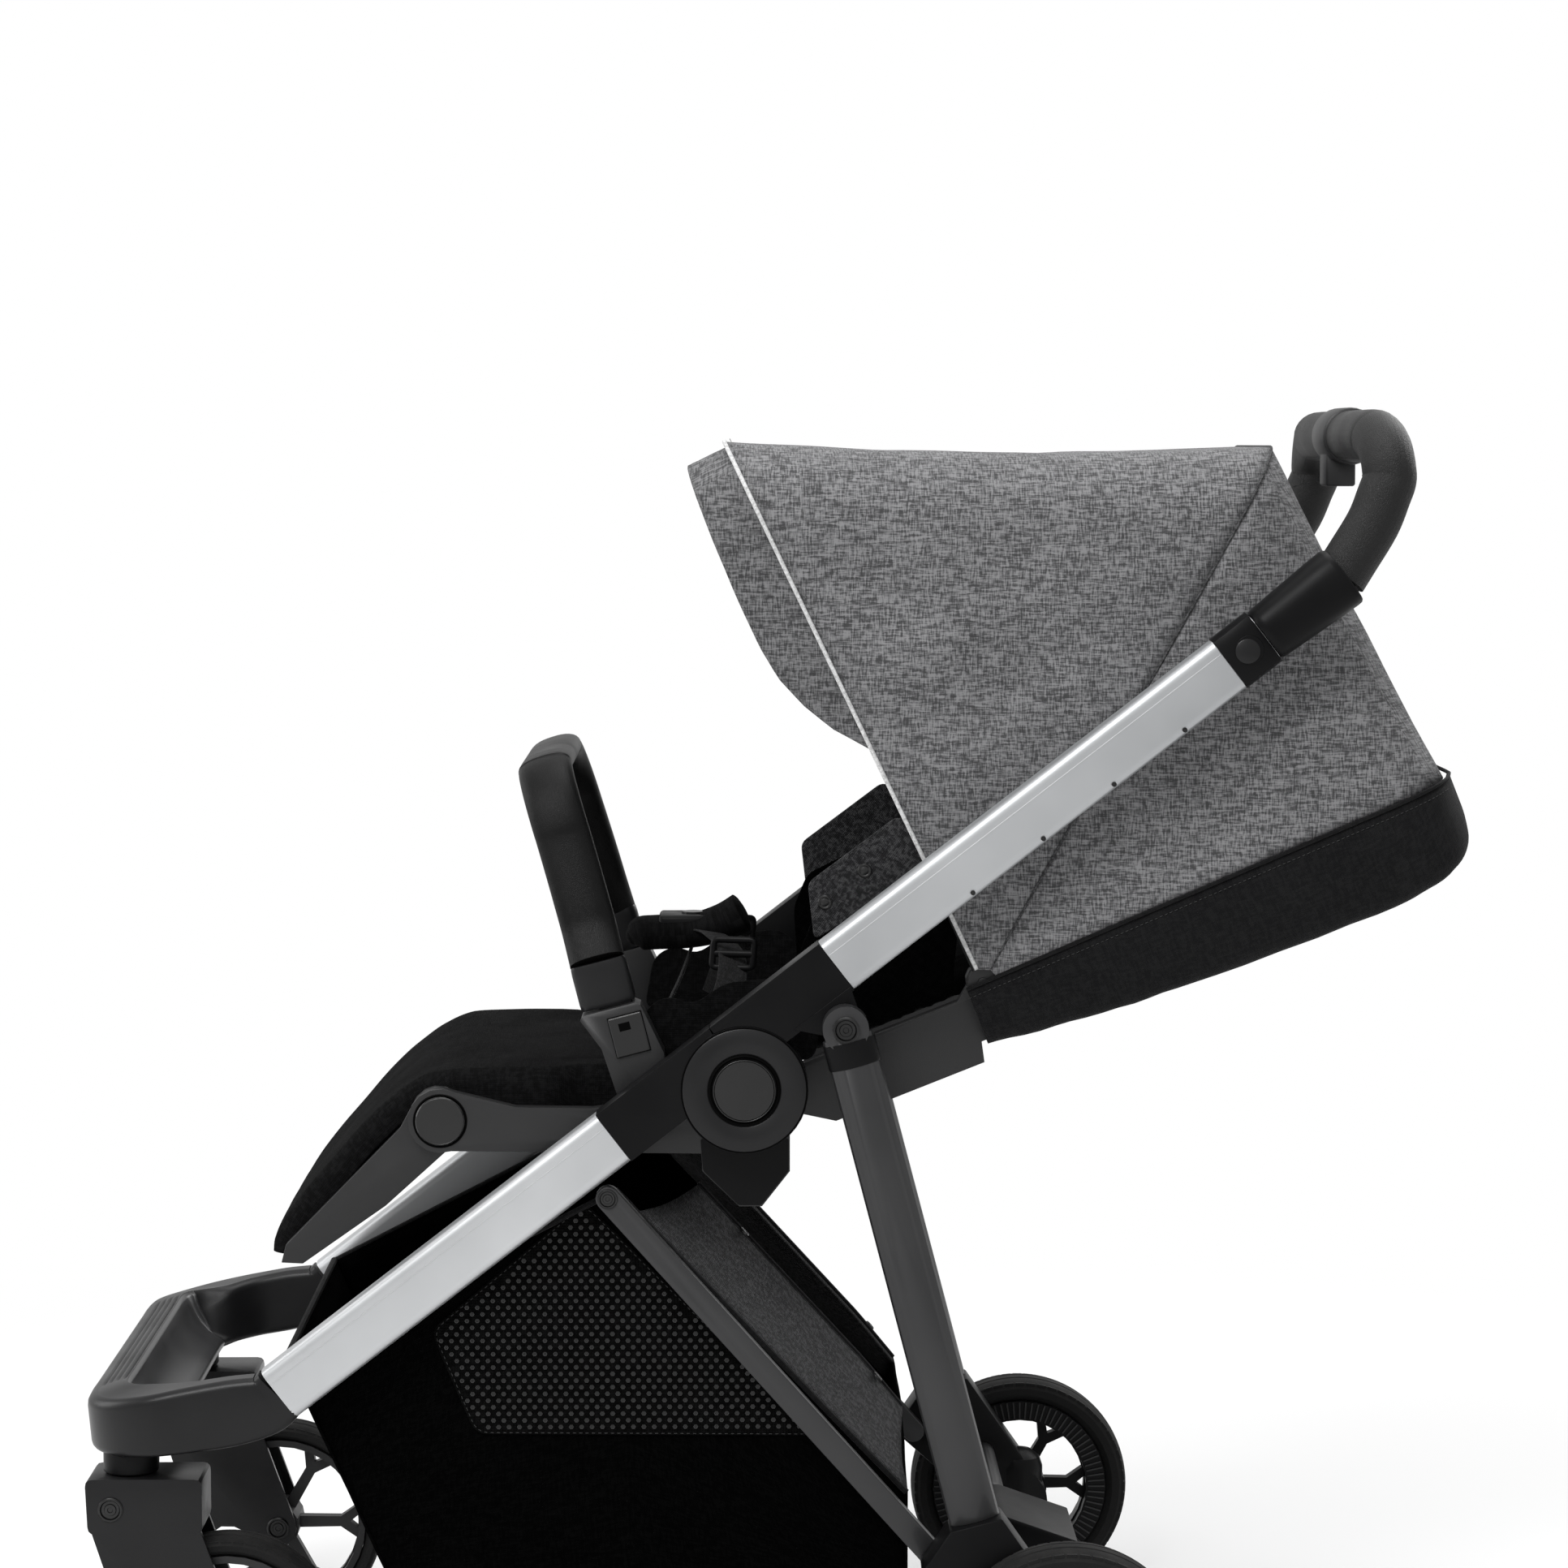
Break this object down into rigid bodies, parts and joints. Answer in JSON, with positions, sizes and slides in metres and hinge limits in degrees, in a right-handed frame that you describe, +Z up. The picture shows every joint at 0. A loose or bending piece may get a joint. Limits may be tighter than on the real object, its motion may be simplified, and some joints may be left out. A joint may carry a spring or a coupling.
{
  "type": "pushchair",
  "caption": "Folding pushchair with a reclining seat, hooded canopy, padded grab bar, shopping basket, telescopic handle, swivelling front wheels and a foot brake.",
  "frame": {"origin": "centre of the bounding box, on the ground under the wheels", "axes": "X points back to the handle, Y points to the child's right-hand side as seated facing the front, Z is up"},
  "size_m": [1.1032, 0.624, 1.07],
  "materials": {
    "anodised_aluminium": "satin silver",
    "black_plastic": "fine matte grain",
    "black_metal": "satin dark grey coat",
    "grip_leather": "soft black grain with a seam",
    "tyre_rubber": "matte",
    "grey_fabric": "woven grey melange",
    "black_fabric": "woven black"
  },
  "bodies": {
    "chassis": {"lower_tube_left": "anodised_aluminium", "lower_tube_right": "anodised_aluminium", "lower_hub_left": "black_plastic", "lower_hub_right": "black_plastic", "hub_pin_left": "black_plastic", "hub_pin_right": "black_plastic", "foot_bar": "black_plastic", "basket": "black_fabric", "seat_frame": "black_plastic", "seat_pad": "black_fabric", "crotch_strap": "black_fabric", "harness_buckle": "black_plastic"},
    "upper_frame": {"upper_hub_left": "black_plastic", "upper_hub_right": "black_plastic", "upper_tube_left": "anodised_aluminium", "upper_tube_right": "anodised_aluminium", "collar_left": "black_plastic", "collar_right": "black_plastic"},
    "handle": {"handle_stem_left": "anodised_aluminium", "handle_stem_right": "anodised_aluminium", "handle_bar": "grip_leather"},
    "release": {"handle_release": "black_plastic"},
    "rear_legs": {"rear_leg_left": "black_metal", "rear_leg_right": "black_metal", "foot_left": "black_plastic", "foot_right": "black_plastic", "rear_cross_tube": "black_metal"},
    "pedal": {"brake_pedal": "black_plastic"},
    "struts": {"strut_left": "black_metal", "strut_right": "black_metal"},
    "backrest": {"backrest_frame": "black_plastic", "back_shell": "black_fabric", "backrest_pad": "black_fabric", "canopy_rear_panel": "grey_fabric"},
    "lever": {"recline_lever": "black_plastic"},
    "rear_bow": {"canopy_rear_bow": "black_plastic"},
    "front_bow": {"canopy_front_bow": "black_plastic", "canopy_front_panel": "grey_fabric", "sun_visor": "grey_fabric"},
    "leg_rest": {"leg_rest_frame": "black_plastic", "leg_rest_pad": "black_fabric"},
    "grab_bar": {"grab_bar": "grip_leather"},
    "buckle_button": {"buckle_button": "black_plastic"},
    "rear_wheel_left": {"rear_tyre_left": "tyre_rubber", "rear_rim_left": "black_plastic"},
    "caster_left": {"caster_fork_left": "black_plastic"},
    "front_wheel_left": {"front_tyre_left": "tyre_rubber", "front_rim_left": "black_plastic"},
    "leg_rest_button_left": {"leg_rest_button_left": "black_plastic"},
    "grab_button_left": {"grab_button_left": "black_plastic"},
    "rear_wheel_right": {"rear_tyre_right": "tyre_rubber", "rear_rim_right": "black_plastic"},
    "caster_right": {"caster_fork_right": "black_plastic"},
    "front_wheel_right": {"front_tyre_right": "tyre_rubber", "front_rim_right": "black_plastic"},
    "leg_rest_button_right": {"leg_rest_button_right": "black_plastic"},
    "grab_button_right": {"grab_button_right": "black_plastic"}
  },
  "joints": [
    {"name": "fold", "type": "hinge", "parent": "chassis", "child": "upper_frame", "pos_m": [-0.0291, 0, 0.541], "axis": [0, 1, 0], "range_deg": [0, 140]},
    {"name": "handle_slide", "type": "slide", "parent": "upper_frame", "child": "handle", "axis": [0.7912, 0, 0.6115], "range_m": [0, 0.18]},
    {"name": "handle_release_press", "type": "slide", "parent": "handle", "child": "release", "axis": [0, 0, 1], "range_m": [0, 0.004], "stiffness_N_per_m": 900},
    {"name": "leg_fold", "type": "hinge", "parent": "upper_frame", "child": "rear_legs", "pos_m": [0.0494, 0, 0.5915], "axis": [0, 1, 0], "range_deg": [-89.74, 0]},
    {"name": "brake_press", "type": "hinge", "parent": "rear_legs", "child": "pedal", "pos_m": [0.1859, 0, 0.141], "axis": [0, 1, 0], "range_deg": [0, 20]},
    {"name": "strut_fold", "type": "hinge", "parent": "chassis", "child": "struts", "pos_m": [-0.1361, 0, 0.454], "axis": [0, 1, 0], "range_deg": [0, 73.22]},
    {"name": "recline", "type": "hinge", "parent": "chassis", "child": "backrest", "pos_m": [-0.0291, 0, 0.541], "axis": [0, -1, 0], "range_deg": [0, 43.5]},
    {"name": "recline_lever_pull", "type": "hinge", "parent": "backrest", "child": "lever", "pos_m": [0.54112, 0, 0.77222], "axis": [0, -1, 0], "range_deg": [0, 20], "stiffness_Nm_per_rad": 0.4},
    {"name": "canopy_rear", "type": "hinge", "parent": "backrest", "child": "rear_bow", "pos_m": [0.1599, 0, 0.618], "axis": [0, 1, 0], "range_deg": [0, 20], "deforming": ["canopy_rear_panel"]},
    {"name": "canopy_front", "type": "hinge", "parent": "rear_bow", "child": "front_bow", "pos_m": [0.1599, 0, 0.618], "axis": [0, 1, 0], "range_deg": [0, 40], "deforming": ["canopy_front_panel"]},
    {"name": "leg_rest_tilt", "type": "hinge", "parent": "chassis", "child": "leg_rest", "pos_m": [-0.2686, 0, 0.5113], "axis": [0, 1, 0], "range_deg": [0, 42]},
    {"name": "grab_bar_pull", "type": "slide", "parent": "chassis", "child": "grab_bar", "axis": [-0.2504, 0, 0.9681], "range_m": [0, 0.05]},
    {"name": "buckle_press", "type": "slide", "parent": "chassis", "child": "buckle_button", "axis": [0, 0, -1], "range_m": [0, 0.002], "stiffness_N_per_m": 500},
    {"name": "rear_wheel_left_spin", "type": "hinge", "parent": "rear_legs", "child": "rear_wheel_left", "pos_m": [0.2219, -0.29, 0.098], "axis": [0, 1, 0], "continuous": true},
    {"name": "caster_left_swivel", "type": "hinge", "parent": "chassis", "child": "caster_left", "pos_m": [-0.5151, -0.19, 0.231], "axis": [0, 0, 1], "continuous": true},
    {"name": "front_wheel_left_spin", "type": "hinge", "parent": "caster_left", "child": "front_wheel_left", "pos_m": [-0.4391, -0.19, 0.0905], "axis": [0, 1, 0], "continuous": true},
    {"name": "leg_rest_button_left_press", "type": "slide", "parent": "chassis", "child": "leg_rest_button_left", "axis": [0, 1, 0], "range_m": [0, 0.003], "stiffness_N_per_m": 800},
    {"name": "grab_button_left_press", "type": "slide", "parent": "chassis", "child": "grab_button_left", "axis": [0, 1, 0], "range_m": [0, 0.0025], "stiffness_N_per_m": 800},
    {"name": "rear_wheel_right_spin", "type": "hinge", "parent": "rear_legs", "child": "rear_wheel_right", "pos_m": [0.2219, 0.29, 0.098], "axis": [0, 1, 0], "continuous": true},
    {"name": "caster_right_swivel", "type": "hinge", "parent": "chassis", "child": "caster_right", "pos_m": [-0.5151, 0.19, 0.231], "axis": [0, 0, 1], "continuous": true},
    {"name": "front_wheel_right_spin", "type": "hinge", "parent": "caster_right", "child": "front_wheel_right", "pos_m": [-0.4391, 0.19, 0.0905], "axis": [0, 1, 0], "continuous": true},
    {"name": "leg_rest_button_right_press", "type": "slide", "parent": "chassis", "child": "leg_rest_button_right", "axis": [0, -1, 0], "range_m": [0, 0.003], "stiffness_N_per_m": 800},
    {"name": "grab_button_right_press", "type": "slide", "parent": "chassis", "child": "grab_button_right", "axis": [0, -1, 0], "range_m": [0, 0.0025], "stiffness_N_per_m": 800}
  ],
  "couplings": [
    {"joint": "leg_fold", "follows": "fold", "ratio": -0.641},
    {"joint": "strut_fold", "follows": "fold", "ratio": 0.523},
    {"joint": "canopy_rear", "follows": "canopy_front", "ratio": 0.5}
  ]
}
